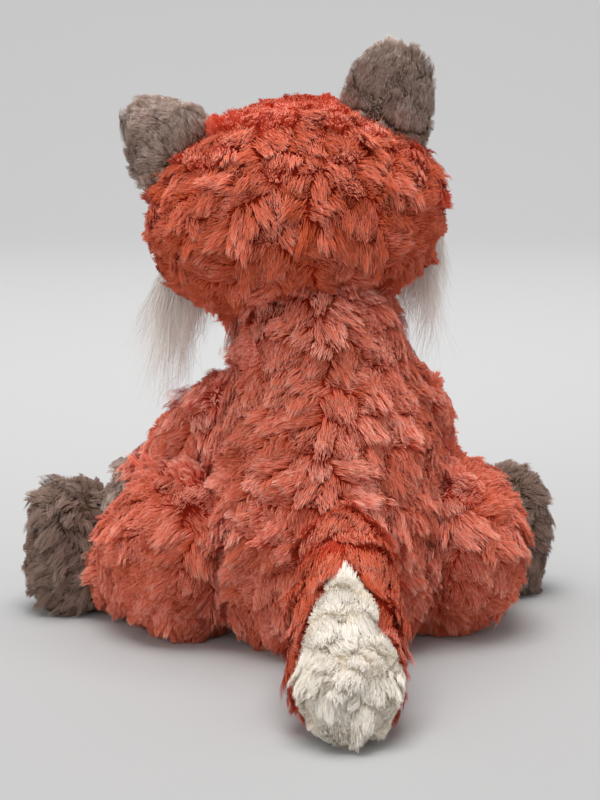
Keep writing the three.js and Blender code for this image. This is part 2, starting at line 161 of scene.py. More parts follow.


# Uncoated paper on a roll is matt: it takes soft shadows and shows no shine. It is painted paler towards the
# back: painted light that brightens the far paper behind the toy.
paper, tree, output = new_material("paper_with_painted_light")
place = add_node(tree, "ShaderNodeNewGeometry").outputs["Position"]
depth = add_node(tree, "ShaderNodeSeparateXYZ", inputs=[place]).outputs["Y"]
painted_light = add_node(tree, "ShaderNodeMapRange", {"interpolation_type": "SMOOTHSTEP"},
                  {"Value": depth, "From Min": PAINTED_LIGHT_FROM, "From Max": PAINTED_LIGHT_TO})
tone = add_node(tree, "ShaderNodeMix", {"data_type": "RGBA"},
                {"Factor": painted_light, "A": linear(FLOOR_COLOR), "B": linear(PAINTED_LIGHT_PAPER_COLOR)})
surface = add_node(tree, "ShaderNodeBsdfPrincipled",
                   inputs={"Base Color": tone.outputs[2], "Roughness": 0.9})
tree.links.new(first_output(surface), output.inputs["Surface"])
floor = sweep_sheet("floor", width=6, front=3, back=-1.6, rise=2.5, bend=1.1, material=paper)
floor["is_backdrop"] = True

world = bpy.data.worlds.new("sky")
bpy.context.scene.world = world
world.use_nodes = True
world.node_tree.nodes["Background"].inputs["Color"].default_value = (1, 1, 1, 1)
world.node_tree.nodes["Background"].inputs["Strength"].default_value = SKY_STRENGTH


def add_lamp(name, place, aim, width, power):
    data = bpy.data.lights.new(name, "AREA")
    data.size = width
    data.energy = power
    lamp = bpy.data.objects.new(name, data)
    bpy.context.scene.collection.objects.link(lamp)
    lamp.location = place
    lamp.rotation_euler = (Vector(aim) - Vector(place)).to_track_quat("-Z", "Y").to_euler()


add_lamp("overhead_lamp", place=(0.05, 0.12, 1.4), aim=TOY_MIDDLE, width=0.9, power=17)
add_lamp("camera_side_lamp", place=(0.9, 1.5, 0.9), aim=TOY_MIDDLE, width=1.0, power=5)


# Torso. Stuffed with fibre over a pouch of pellets, and covered in coral pile cloth: a knitted
# backing with dense, soft hair that the finishing has gathered into overlapping locks, which run
# down and out from the seam up the middle of the back.
SAME_PLACE = 0.01 * MM
TINY = 1e-9


def skin_from(name, nodes, voxel, smoothing=3):
    """One closed skin round CAD nodes, as a fresh mesh of even quads."""
    joined = bmesh.new()
    for node in nodes:
        joined.from_mesh(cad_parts[node].data)
    bmesh.ops.remove_doubles(joined, verts=joined.verts, dist=SAME_PLACE)
    mesh = bpy.data.meshes.new(name)
    joined.to_mesh(mesh)
    joined.free()
    source = new_object(name, mesh)
    remesh = source.modifiers.new("remesh", "REMESH")
    remesh.mode = "VOXEL"
    remesh.voxel_size = voxel
    smooth = source.modifiers.new("smooth", "SMOOTH")
    smooth.iterations = smoothing
    depsgraph = bpy.context.evaluated_depsgraph_get()
    made = bpy.data.meshes.new_from_object(source.evaluated_get(depsgraph))
    bpy.data.objects.remove(source)
    keep_largest(made)
    made.shade_smooth()
    made.name = name
    return new_object(name, made)


def keep_largest(mesh):
    """Deletes all but the largest connected part of a mesh."""
    whole = bmesh.new()
    whole.from_mesh(mesh)
    left, islands = set(whole.verts), []
    while left:
        front = [left.pop()]
        island = set(front)
        while front:
            for edge in front.pop().link_edges:
                for vert in edge.verts:
                    if vert in left:
                        left.remove(vert)
                        island.add(vert)
                        front.append(vert)
        islands.append(island)
    islands.sort(key=len)
    strays = [vert for island in islands[:-1] for vert in island]
    bmesh.ops.delete(whole, geom=strays, context="VERTS")
    bmesh.ops.recalc_face_normals(whole, faces=whole.faces)
    whole.to_mesh(mesh)
    whole.free()


def points_of(skin):
    """The places and the outward normals of a skin's points, as arrays."""
    count = len(skin.data.vertices)
    places = np.empty(3 * count, np.float32)
    skin.data.vertices.foreach_get("co", places)
    normals = np.array([v.normal for v in skin.data.vertices], np.float32)
    return places.reshape(-1, 3), normals


def faces_of(nodes):
    """A search tree of the faces of CAD nodes."""
    joined = bmesh.new()
    for node in nodes:
        joined.from_mesh(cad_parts[node].data)
    faces = BVHTree.FromBMesh(joined)
    joined.free()
    return faces


def distances(places, nodes):
    """How far each place is from the faces of CAD nodes."""
    faces = faces_of(nodes)
    return np.array([faces.find_nearest(Vector(place))[3] for place in places])


def hidden(places, normals, nodes):
    """Which places have CAD nodes closely over them and over all that is near them."""
    faces = faces_of(nodes)
    rays = ((Vector(place), Vector(normal)) for place, normal in zip(places, normals))
    over = np.array([faces.ray_cast(place, normal, COVER_ROOM)[0] is not None for place, normal in rays])
    open_places = KDTree(int(np.sum(~over)))
    for i in np.flatnonzero(~over):
        open_places.insert(Vector(places[i]), int(i))
    open_places.balance()
    far = np.zeros(len(places), bool)
    for i in np.flatnonzero(over):
        far[i] = open_places.find(Vector(places[i]))[2] > COVER_EDGE
    return far


PRESSURE = 4
CLOTH_FRAMES = 20
LUMP_SIZE = 13 * MM


def puff(skin, hold, cap, swell=0.0, lump=0.0):
    """Fills a skin by cloth simulation. hold has each point's hold, from 0 to 1, and no point moves
    further than cap. The filling then makes it fuller by swell, and uneven by lump."""
    places, _ = points_of(skin)
    group = skin.vertex_groups.new(name="held")
    for i, value in enumerate(hold):
        group.add([i], float(value), "REPLACE")
    cloth = skin.modifiers.new("cloth", "CLOTH")
    cloth.settings.use_pressure = True
    cloth.settings.uniform_pressure_force = PRESSURE
    cloth.settings.effector_weights.gravity = 0
    cloth.settings.vertex_group_mass = group.name
    cloth.point_cache.frame_end = CLOTH_FRAMES
    for number in range(1, CLOTH_FRAMES + 1):
        bpy.context.scene.frame_set(number)
    depsgraph = bpy.context.evaluated_depsgraph_get()
    filled = bpy.data.meshes.new_from_object(skin.evaluated_get(depsgraph))
    moved = np.empty(places.size, np.float32)
    filled.vertices.foreach_get("co", moved)
    bpy.data.meshes.remove(filled)
    skin.modifiers.remove(cloth)
    skin.vertex_groups.remove(group)
    bpy.context.scene.frame_set(1)
    step = moved.reshape(-1, 3) - places
    reach = np.linalg.norm(step, axis=1, keepdims=True)
    places += step * np.minimum(1, cap / np.maximum(reach, TINY))
    places[:, 2] = np.maximum(places[:, 2], 0)
    skin.data.vertices.foreach_set("co", places.ravel())
    skin.data.update()
    places, normals = points_of(skin)
    lumps = np.array([noise.noise(Vector(place) / LUMP_SIZE) for place in places])[:, None]
    free = (1 - np.asarray(hold, float))[:, None]
    places += normals * free * (swell + lump * lumps)
    places[:, 2] = np.maximum(places[:, 2], 0)
    skin.data.vertices.foreach_set("co", places.ravel())
    skin.data.update()
    finer = skin.modifiers.new("finer", "SUBSURF")
    finer.levels = finer.render_levels = 1
    depsgraph = bpy.context.evaluated_depsgraph_get()
    coarse = skin.data
    skin.data = bpy.data.meshes.new_from_object(skin.evaluated_get(depsgraph))
    skin.modifiers.remove(finer)
    bpy.data.meshes.remove(coarse)


def comb(skin, ways, normals, naps, upright, regions):
    """Stores on a skin which way its hair lies, how long it is and how upright, and which cloth each
    face is cut from."""
    ways = ways - normals * np.sum(ways * normals, axis=1, keepdims=True)
    ways /= np.maximum(np.linalg.norm(ways, axis=1, keepdims=True), TINY)
    stored = skin.data.attributes.new("lay", "FLOAT_VECTOR", "POINT")
    stored.data.foreach_set("vector", ways.astype(np.float32).ravel())
    stored = skin.data.attributes.new("nap", "FLOAT", "POINT")
    stored.data.foreach_set("value", naps.astype(np.float32))
    stored = skin.data.attributes.new("upright", "FLOAT", "POINT")
    stored.data.foreach_set("value", upright.astype(np.float32))
    stored = skin.data.attributes.new("region", "INT", "FACE")
    stored.data.foreach_set("value", regions.astype(np.int32))


PILE_INPUTS = {
    "Geometry": "NodeSocketGeometry", "Region": "NodeSocketInt", "Lock spacing": "NodeSocketFloat",
    "Tuft spacing": "NodeSocketFloat", "Hairs per area": "NodeSocketFloat", "Length": "NodeSocketFloat",
    "Width": "NodeSocketFloat", "Lift": "NodeSocketFloat", "Gather": "NodeSocketFloat",
    "Tousle": "NodeSocketFloat", "Fray": "NodeSocketFloat", "Shade": "NodeSocketFloat",
    "Seed": "NodeSocketInt", "Material": "NodeSocketMaterial",
}

# Locks, as shares of their spacing, and how wavy their edges are
LOCK_ROOM = 0.5
LOCKS_PER_SQUARE = 1.2
HALF_LOCK = 0.7
LOCK_SIZES = (0.65, 1.25)
LOCK_STANDS = (-0.3, 0.4)
EDGE_WAVES_PER_METRE = 110.0
EDGE_WAVE = 14 * MM

# Tufts, as shares of the pile's length and lift
MOST_TUFTS = 1e7
TUFT_SIZES = (0.82, 1.15)
SIDE_LENGTH = 0.55
SHORTER_STANDING = -0.75
SHORTER_FORWARD = -0.5
LEAST_LENGTH = 0.45
CREST_END = 0.5
CREST_START_HEIGHT = 0.5
SIDE_HEIGHT = 0.3
HIGHER_STANDING = 0.7
LYING_HEIGHT = 0.75
DRAWN_IN = -0.08
STRAYING = 0.15
LOCK_TONE = 0.35
TUFT_TONE = 0.55
# Standing tufts are drawn lighter: painted light, as if light got into the upright pile.
PAINTED_LIGHT_STANDING = 1.3

# Hairs: most are as long as their tuft, and the rest are a shorter, more upright undercoat
BARE_NAP = 0.05
UNDERCOAT_POWER = 2.2
UNDERCOAT_SHORTER = -0.85
LONGEST_HAIR = 1.08
UNDERCOAT_LIFT = 0.6
LOOSE_HAIR = 0.3
FRAY_WAVES_PER_METRE = 900.0
BEND_HEIGHT = 1.1
STEM_HEIGHT = 0.25
BEND_PLACE = 0.3
HAIR_TWIST = 0.4
TUFT_TINT = 0.75
HAIR_TINT = 0.25
POINT_START = 0.9
POINT_MERGE = 0.01
NARROWING = 0.7
OFF_THE_FLOOR = (-10.0, -10.0, 0.3 * MM)


def build_pile_tree():
    """Grows hair on a skin. The hair is gathered into locks, and each lock into fine tufts: a tuft rises
    from the skin and lies over along its lock, highest along the lock's middle and shortest at its
    sides, so that a lock has a domed back and a blunt, frayed tip over the start of the next one. Each
    hair is a narrow ribbon that follows its tuft."""
    tree = bpy.data.node_groups.new("pile", "GeometryNodeTree")
    for name, kind in PILE_INPUTS.items():
        tree.interface.new_socket(name=name, in_out="INPUT", socket_type=kind)
    tree.interface.new_socket(name="Geometry", in_out="OUTPUT", socket_type="NodeSocketGeometry")
    given = add_node(tree, "NodeGroupInput").outputs

    def attribute(name, kind="FLOAT"):
        return first_output(add_node(tree, "GeometryNodeInputNamedAttribute", {"data_type": kind},
                                     {"Name": name}))

    def math_of(operation, *values):
        return first_output(add_node(tree, "ShaderNodeMath", {"operation": operation}, list(values)))

    def product(*values):
        whole = values[0]
        for value in values[1:]:
            whole = math_of("MULTIPLY", whole, value)
        return whole

    def at_least(share, value):
        """A value from 0 to 1, moved to run from a share to 1."""
        return math_of("MULTIPLY_ADD", value, 1 - share, share)

    def vector_of(operation, *values):
        return first_output(add_node(tree, "ShaderNodeVectorMath", {"operation": operation}, list(values)))

    def sum_of(*vectors):
        whole = vectors[0]
        for vector in vectors[1:]:
            whole = vector_of("ADD", whole, vector)
        return whole

    def dot(a, b):
        return add_node(tree, "ShaderNodeVectorMath", {"operation": "DOT_PRODUCT"}, [a, b]).outputs["Value"]

    def scaled(vector, factor):
        return first_output(add_node(tree, "ShaderNodeVectorMath", {"operation": "SCALE"},
                                     {"Vector": vector, "Scale": factor}))

    def random_of(low, high, stream):
        return add_node(tree, "FunctionNodeRandomValue", {"data_type": "FLOAT"},
                        {"Min": low, "Max": high, "Seed": math_of("ADD", given["Seed"], stream)})

    def stored(geometry, name, kind, value):
        return add_node(tree, "GeometryNodeStoreNamedAttribute", {"data_type": kind, "domain": "POINT"},
                        {"Geometry": geometry, "Name": name, "Value": value})

    def nearest_in(points, position):
        index = add_node(tree, "GeometryNodeSampleNearest",
                         inputs={"Geometry": points, "Sample Position": position})

        def value_of(value, kind="FLOAT"):
            return first_output(add_node(tree, "GeometryNodeSampleIndex", {"data_type": kind},
                                         {"Geometry": points, "Value": value, "Index": index}))
        return value_of

    def noise_of(position, scale, strength):
        waves = add_node(tree, "ShaderNodeTexNoise",
                         inputs={"Vector": position, "Scale": scale, "Detail": 1.0})
        return scaled(vector_of("SUBTRACT", waves.outputs["Color"], (0.5, 0.5, 0.5)), strength)

    root = first_output(add_node(tree, "GeometryNodeInputPosition"))
    cut = add_node(tree, "FunctionNodeCompare", {"data_type": "INT", "operation": "EQUAL"},
                   {"A": attribute("region", "INT"), "B": given["Region"]})
    backing = add_node(tree, "GeometryNodeSeparateGeometry", {"domain": "FACE"},
                       {"Geometry": given["Geometry"], "Selection": cut})

    # Locks: a place, a way to lie, a size and a height for each
    spacing = given["Lock spacing"]
    locks = add_node(tree, "GeometryNodeDistributePointsOnFaces", {"distribute_method": "POISSON"},
                     {"Mesh": backing, "Distance Min": product(spacing, LOCK_ROOM),
                      "Density Max": math_of("DIVIDE", LOCKS_PER_SQUARE, math_of("POWER", spacing, 2.0)),
                      "Seed": given["Seed"]})
    turn = product(given["Tousle"], random_of(-1, 1, 1))
    way = add_node(tree, "ShaderNodeVectorRotate", {"rotation_type": "AXIS_ANGLE"},
                   {"Vector": attribute("lay", "FLOAT_VECTOR"), "Axis": locks.outputs["Normal"],
                    "Angle": turn})
    lock_points = stored(locks.outputs["Points"], "way", "FLOAT_VECTOR", way)
    lock_points = stored(lock_points, "size", "FLOAT", random_of(*LOCK_SIZES, 2))
    lock_points = stored(lock_points, "stand", "FLOAT", random_of(*LOCK_STANDS, 3))
    lock_points = stored(lock_points, "tone", "FLOAT", random_of(0, 1, 4))

    # Tufts: each belongs to the nearest lock, by a wavy measure that makes the locks' edges uneven
    tufts = add_node(tree, "GeometryNodeDistributePointsOnFaces", {"distribute_method": "POISSON"},
                     {"Mesh": backing, "Distance Min": given["Tuft spacing"], "Density Max": MOST_TUFTS,
                      "Seed": given["Seed"]})
    up = tufts.outputs["Normal"]
    wavy = vector_of("ADD", root, noise_of(root, EDGE_WAVES_PER_METRE, EDGE_WAVE))
    of_lock = nearest_in(lock_points, wavy)
    way = of_lock(attribute("way", "FLOAT_VECTOR"), "FLOAT_VECTOR")
    side = vector_of("NORMALIZE", vector_of("CROSS_PRODUCT", way, up))
    from_middle = vector_of("SUBTRACT", root, of_lock(root, "FLOAT_VECTOR"))
    sideways, forward = dot(from_middle, side), dot(from_middle, way)
    half_lock = product(spacing, HALF_LOCK)
    dome = add_node(tree, "ShaderNodeMapRange", {"interpolation_type": "SMOOTHSTEP"},
                    {"Value": math_of("ABSOLUTE", sideways), "From Max": half_lock, "To Min": 1.0,
                     "To Max": 0.0})
    size = product(attribute("nap"), of_lock(attribute("size")), random_of(*TUFT_SIZES, 5))
    stand = math_of("ADD", attribute("upright"), of_lock(attribute("stand")))
    stand = add_node(tree, "ShaderNodeClamp", inputs=[stand])
    full = product(given["Length"], size, at_least(SIDE_LENGTH, dome),
                   math_of("MULTIPLY_ADD", stand, SHORTER_STANDING, 1.0))
    length = math_of("MAXIMUM", math_of("MULTIPLY_ADD", forward, SHORTER_FORWARD, full),
                     product(full, LEAST_LENGTH))
    crest = add_node(tree, "ShaderNodeMapRange", {"interpolation_type": "SMOOTHSTEP"},
                     {"Value": forward, "From Min": product(half_lock, -1.0),
                      "From Max": product(half_lock, CREST_END), "To Min": CREST_START_HEIGHT,
                      "To Max": 1.0})
    raised = product(given["Lift"], size, at_least(SIDE_HEIGHT, dome), crest,
                     math_of("MULTIPLY_ADD", stand, HIGHER_STANDING, LYING_HEIGHT))
    drawn = math_of("MULTIPLY_ADD", sideways, DRAWN_IN, product(length, random_of(-STRAYING, STRAYING, 6)))
    reach = sum_of(scaled(way, length), scaled(side, drawn), scaled(up, raised))
    tuft_points = stored(tufts.outputs["Points"], "reach", "FLOAT_VECTOR", reach)
    tone = math_of("MULTIPLY_ADD", of_lock(attribute("tone")), LOCK_TONE, random_of(0, TUFT_TONE, 7))
    # The more a tuft stands, the lighter its tone: painted light.
    tone = math_of("MULTIPLY_ADD", stand, PAINTED_LIGHT_STANDING, tone)
    tuft_points = stored(tuft_points, "tone", "FLOAT", tone)

    # Hairs: each follows the nearest tuft and draws in towards its middle
    grows = math_of("GREATER_THAN", attribute("nap"), BARE_NAP)
    hairs = add_node(tree, "GeometryNodeDistributePointsOnFaces", {"distribute_method": "RANDOM"},
                     {"Mesh": backing, "Density": product(given["Hairs per area"], grows),
                      "Seed": given["Seed"]})
    up = hairs.outputs["Normal"]
    of_tuft = nearest_in(tuft_points, root)
    undercoat = math_of("POWER", random_of(0, 1, 8), UNDERCOAT_POWER)
    shorter = math_of("MULTIPLY_ADD", undercoat, UNDERCOAT_SHORTER, LONGEST_HAIR)
    upright = product(math_of("SUBTRACT", 1.0, shorter), product(given["Lift"], UNDERCOAT_LIFT))
    reach = scaled(of_tuft(attribute("reach", "FLOAT_VECTOR"), "FLOAT_VECTOR"), shorter)
    reach = sum_of(reach, scaled(up, upright))
    inward = scaled(vector_of("SUBTRACT", of_tuft(root, "FLOAT_VECTOR"), root), given["Gather"])
    loose = add_node(tree, "FunctionNodeRandomValue", {"data_type": "FLOAT_VECTOR"},
                     {"Min": (-LOOSE_HAIR,) * 3, "Max": (LOOSE_HAIR,) * 3,
                      "Seed": math_of("ADD", given["Seed"], 11)})
    wander = sum_of(noise_of(root, FRAY_WAVES_PER_METRE, given["Fray"]), scaled(loose, given["Fray"]))
    tip = sum_of(sum_of(root, reach), sum_of(inward, wander))
    raised = dot(reach, up)
    level = vector_of("SUBTRACT", reach, scaled(up, raised))
    rise = math_of("MULTIPLY_ADD", raised, BEND_HEIGHT, product(given["Lift"], STEM_HEIGHT))
    bend = sum_of(root, scaled(level, BEND_PLACE), scaled(up, rise))
    side = vector_of("NORMALIZE", vector_of("CROSS_PRODUCT", level, up))
    facing = vector_of("NORMALIZE", sum_of(side, scaled(up, random_of(-HAIR_TWIST, HAIR_TWIST, 9))))
    tint = math_of("MULTIPLY_ADD", of_tuft(attribute("tone")), TUFT_TINT, random_of(0, HAIR_TINT, 10))
    # Shade darkens one piece's hair as painted shade. Through the tint, it also moves the colour towards the
    # dark root and makes it more saturated.
    tint = math_of("ADD", tint, given["Shade"])

    grown = stored(hairs.outputs["Points"], "root", "FLOAT_VECTOR", root)
    for name, kind, value in (("bend", "FLOAT_VECTOR", bend), ("tip", "FLOAT_VECTOR", tip),
                              ("facing", "FLOAT_VECTOR", facing), ("tint", "FLOAT", tint)):
        grown = stored(grown, name, kind, value)

    # Blade: a strip of two quads that ends in a point. Its points are then moved to lie along a hair.
    ribbon = add_node(tree, "GeometryNodeMeshGrid",
                      inputs={"Size X": 1.0, "Size Y": 1.0, "Vertices X": 2, "Vertices Y": 3})
    flat = add_node(tree, "ShaderNodeSeparateXYZ", inputs=[root])
    along = math_of("ADD", flat.outputs["Y"], 0.5)
    pointed = math_of("LESS_THAN", along, POINT_START)
    across = product(flat.outputs["X"], pointed)
    blade = stored(first_output(ribbon), "across", "FLOAT", across)
    blade = stored(blade, "along", "FLOAT", along)
    at = add_node(tree, "ShaderNodeCombineXYZ", inputs=[across, flat.outputs["Y"]])
    blade = add_node(tree, "GeometryNodeSetPosition", inputs={"Geometry": blade, "Position": at})
    blade = add_node(tree, "GeometryNodeMergeByDistance",
                     inputs={"Geometry": blade, "Distance": POINT_MERGE})
    placed = add_node(tree, "GeometryNodeInstanceOnPoints", inputs={"Points": grown, "Instance": blade})
    real = add_node(tree, "GeometryNodeRealizeInstances", inputs={"Geometry": placed})

    def between(a, b, factor):
        mix = add_node(tree, "ShaderNodeMix", {"data_type": "VECTOR"}, {"Factor": factor, "A": a, "B": b})
        return mix.outputs[1]

    along = attribute("along")
    base, elbow, end = (attribute(name, "FLOAT_VECTOR") for name in ("root", "bend", "tip"))
    line = between(between(base, elbow, along), between(elbow, end, along), along)
    narrowed = math_of("SUBTRACT", 1.0, product(along, along, NARROWING))
    half = product(attribute("across"), given["Width"], narrowed)
    place = vector_of("ADD", line, scaled(attribute("facing", "FLOAT_VECTOR"), half))
    place = vector_of("MAXIMUM", place, OFF_THE_FLOOR)
    shaped = add_node(tree, "GeometryNodeSetPosition", inputs={"Geometry": real, "Position": place})
    for name in ("root", "bend", "tip", "facing", "across"):
        shaped = add_node(tree, "GeometryNodeRemoveAttribute", inputs={"Geometry": shaped, "Name": name})
    # The backing is drawn with the hair. Having no along or tint value, it takes the dark, saturated root
    # colour: painted shade in the gaps between the locks.
    joined = add_node(tree, "GeometryNodeJoinGeometry")
    tree.links.new(first_output(shaped), joined.inputs[0])
    tree.links.new(first_output(backing), joined.inputs[0])
    smooth = add_node(tree, "GeometryNodeSetShadeSmooth", inputs={"Geometry": joined})
    last = add_node(tree, "GeometryNodeRealizeInstances", inputs={"Geometry": smooth})
    finished = add_node(tree, "GeometryNodeSetMaterial",
                        inputs={"Geometry": last, "Material": given["Material"]})
    add_node(tree, "NodeGroupOutput", inputs=[finished])
    return tree


pile_tree = build_pile_tree()


def grow(name, skin, material, region=0, **sizes):
    """A piece of pile cloth: the part of a skin cut from one cloth, with its hair on it."""
    values = {"Region": region, "Material": material}
    values.update({key.replace("_", " ").capitalize(): value for key, value in sizes.items()})
    modifier = skin.modifiers.new("pile", "NODES")
    modifier.node_group = pile_tree
    for socket in pile_tree.interface.items_tree:
        if socket.name in values:
            modifier[socket.identifier] = values[socket.name]
    depsgraph = bpy.context.evaluated_depsgraph_get()
    mesh = bpy.data.meshes.new_from_object(skin.evaluated_get(depsgraph))
    skin.modifiers.remove(modifier)
    mesh.name = name
    return new_object(name, mesh)


RAMP_BY_TINT = 0.3
RAMP_SHIFT = -0.16
INNER_STOP = 0.06
BODY_STOP = 0.55
PATCHES_PER_METRE = 45.0


def pile_material(name, root_shade_color, inner_color, body_color, tip_sheen_color, sheen):
    """Hair whose colour runs from a dark root, which is painted shade for the crowded depth of the pile, to
    a light tip, which is partly painted sheen where the tips fan out. Locks and single hairs are a little
    lighter or darker than their neighbours: partly at random, partly painted light where they stand up and
    painted shade set for each piece, which also makes the colour deeper and more saturated. It is matt, with
    a soft sheen. The dye is uneven in patches about 22 mm across."""
    material, tree, output = new_material(name)
    along = add_node(tree, "ShaderNodeAttribute", {"attribute_name": "along"}).outputs["Fac"]
    tint = add_node(tree, "ShaderNodeAttribute", {"attribute_name": "tint"}).outputs["Fac"]
    # A lower tint, whether random or from painted shade, moves the colour towards the dark root. It also
    # makes the colour darker and more saturated below: painted shade.
    raised = add_node(tree, "ShaderNodeMath", {"operation": "MULTIPLY_ADD"},
                      [tint, RAMP_BY_TINT, RAMP_SHIFT])
    shifted = add_node(tree, "ShaderNodeMath", inputs=[along, raised])
    # The ramp runs from the dark root colour, which is painted shade, to the pale tip colour, which is
    # partly painted sheen.
    ramp = add_node(tree, "ShaderNodeValToRGB", inputs=[shifted])
    ramp.color_ramp.elements[0].color = linear(root_shade_color)
    ramp.color_ramp.elements[1].color = linear(tip_sheen_color)
    ramp.color_ramp.elements.new(INNER_STOP).color = linear(inner_color)
    ramp.color_ramp.elements.new(BODY_STOP).color = linear(body_color)
    place = add_node(tree, "ShaderNodeTexCoord").outputs["Object"]
    patches = add_node(tree, "ShaderNodeTexNoise",
                       inputs={"Vector": place, "Scale": PATCHES_PER_METRE, "Detail": 2.0})
    lightness = add_node(tree, "ShaderNodeMapRange", {"clamp": False},
                         {"Value": tint, "To Min": 0.87, "To Max": 1.2})
    patchy = add_node(tree, "ShaderNodeMapRange",
                      inputs={"Value": patches, "From Min": 0.3, "From Max": 0.7, "To Min": 0.93,
                              "To Max": 1.07})
    value = add_node(tree, "ShaderNodeMath", {"operation": "MULTIPLY"}, [lightness, patchy])
    deep = add_node(tree, "ShaderNodeMapRange", {"clamp": False},
                    {"Value": tint, "To Min": 1.07, "To Max": 0.97})
    colored = add_node(tree, "ShaderNodeHueSaturation",
                       inputs={"Saturation": deep, "Value": value, "Color": ramp})
    surface = add_node(tree, "ShaderNodeBsdfPrincipled", inputs={
        "Base Color": colored, "Roughness": 0.75, "Specular IOR Level": 0.25,
        "Sheen Weight": sheen, "Sheen Roughness": 0.5, "Sheen Tint": linear(body_color),
    })
    tree.links.new(first_output(surface), output.inputs["Surface"])
    return material


CROWDED = 2.5 * MM
COVER_ROOM = 6 * MM
COVER_EDGE = 4 * MM
CREVICE = 7 * MM
LONGER_BY = 0.35
UNDERSIDE = 2 * MM
FILLED_BY = 2.5 * MM
STANDING_NEARBY = 0.45


def plush(body, cloths, lay, neighbours, inside=(), voxel=4 * MM, seed=1, seam=None, upright=None,
          let_in=None, swell=0.0, lump=1.2 * MM, trimmed=None):
    """Makes the pile cloth covers of one body from its CAD nodes. cloths has a name, the covers that it
    stands for, the material and the hair's sizes for each. The skin is held where it meets a neighbour
    and along a seam, and is bare there and underneath."""
    covers = [node for _, nodes, _, _ in cloths for node in nodes]
    skin = skin_from(body + "_skin", covers + list(inside), voxel)
    places, _ = points_of(skin)
    hold = (distances(places, neighbours) < CROWDED) | (places[:, 2] < UNDERSIDE)
    if seam:
        hold = np.maximum(hold, seam(places))
    puff(skin, hold, FILLED_BY, swell, lump)
    places, normals = points_of(skin)
    naps = ~hidden(places, normals, neighbours) & (places[:, 2] > UNDERSIDE)
    nearby = np.exp(-((distances(places, neighbours) / CREVICE) ** 2))
    naps = naps * (1 + LONGER_BY * nearby)
    if trimmed:
        naps = naps * trimmed(places, normals)
    standing = STANDING_NEARBY * nearby + (upright(places, normals) if upright else 0)
    middles = np.array([face.center for face in skin.data.polygons])
    nearness = [distances(middles, nodes) for _, nodes, _, _ in cloths]
    if let_in:
        nearness[0] += let_in(middles)
    regions = np.argmin(nearness, axis=0)
    comb(skin, lay(places, normals), normals, naps, standing, regions)
    for region, (name, nodes, (material, slot), hair) in enumerate(cloths):
        piece = grow(name, skin, material, region=region, seed=seed + region, **hair)
        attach(piece, body)
        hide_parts(*nodes)
        if region == 0:
            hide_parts(*[node for node in inside if node.endswith("filling")])
    bpy.data.objects.remove(skin)


# Minky is knitted polyester pile, dyed through and tumbled into curls. It is drawn deep and warm between the
# locks, where its dark root colour is painted shade, and pale and a little silky along their tips, which is
# partly painted sheen. A real hair is about 0.02 mm thick, too fine to show here, so all the pile is drawn
# as ribbons 0.2 to 0.4 mm wide, which are fewer.
CORAL = (pile_material("coral_minky_pile", "#ad2a12", "#dd6648", "#e97c62", "#ffc4ae", 0.3), "coral_pile")
CORAL_HAIR = dict(lock_spacing=9.5 * MM, tuft_spacing=1.7 * MM, hairs_per_area=3.5e6, length=7.5 * MM,
                  width=0.32 * MM, lift=7.5 * MM, gather=0.1, tousle=0.7, fray=1.2 * MM)
TORSO_SEAM_LEAN = 2.5 * MM
SEAM_HALF_WIDTH = 4 * MM
PARTING_HEIGHT = 92 * MM
PARTING_REACH = 28 * MM
PARTED = 0.55
MORE_PARTED = 0.95
PARTED_IN_FRONT = 0.2


def torso_lay(places, normals):
    """Down the body, and out from the seam on the back, most of all half way up it."""
    ways = np.zeros_like(places)
    ways[:, 2] = -1
    out = np.tanh((places[:, 0] - TORSO_SEAM_LEAN) / SEAM_HALF_WIDTH)
    half_way = np.exp(-(((places[:, 2] - PARTING_HEIGHT) / PARTING_REACH) ** 2))
    ways[:, 0] = out * np.where(places[:, 1] > 0, PARTED + MORE_PARTED * half_way, PARTED_IN_FRONT)
    return ways


def back_seam(places):
    return np.exp(-(((places[:, 0] - TORSO_SEAM_LEAN) / SEAM_HALF_WIDTH) ** 2)) * (places[:, 1] > 0)


plush("torso", [("torso_plush", ["torso_cover"], CORAL, CORAL_HAIR)], torso_lay,
      ["head_cover", "left_arm_cover", "right_arm_cover", "left_leg_cover", "right_leg_cover",
       "tail_cover"],
      inside=["torso_filling", "pellet_pouch", "pellet_fill"], seed=11, seam=back_seam)


# Head. A wide stuffed ball of the same coral pile, sewn on at the neck and leaning a little to one
# side. Its hair is combed back from the face over the crown, and hangs down behind.
HEAD_CENTRE = np.array([13, -12, 192]) * MM
HEAD_HALF_DEPTH = 50 * MM
HEAD_SPREAD = 40 * MM
CROWN_BACKWARD = 1.2
NOSE_ROOT = HEAD_CENTRE + np.array([0, -1.2 * HEAD_HALF_DEPTH, -15 * MM])
FACE_TRIM = 11 * MM
SHORTEST_FACE = 0.3
CROWN_TRIM = 0.4
CROWN_UPRIGHT = 0.35


def head_lay(places, normals):
    from_centre = places - HEAD_CENTRE
    behind = np.clip(normals[:, 1:2] * 2 + 0.7, 0, 1)
    down = np.zeros_like(places)
    down[:, 2] = -1
    down[:, 0] = from_centre[:, 0] / HEAD_SPREAD
    down[:, 1] = CROWN_BACKWARD * normals[:, 2]
    from_nose = places - NOSE_ROOT
    from_nose /= np.linalg.norm(from_nose, axis=1, keepdims=True)
    return from_nose * (1 - behind) + down * behind


def head_trimmed(places, normals):
    """Shorter round the eyes and the muzzle, and on the crown."""
    from_face = distances(places, ["left_eye", "right_eye", "muzzle_cover"])
    on_crown = np.clip(normals[:, 2], 0, 1) ** 2
    return np.clip(from_face / FACE_TRIM, SHORTEST_FACE, 1) * (1 - CROWN_TRIM * on_crown)


# Crown hair stands up, so it is also drawn lighter: painted light on the top of the head.
def crown_upright(places, normals):
    return CROWN_UPRIGHT * np.clip(normals[:, 2], 0, 1) ** 2


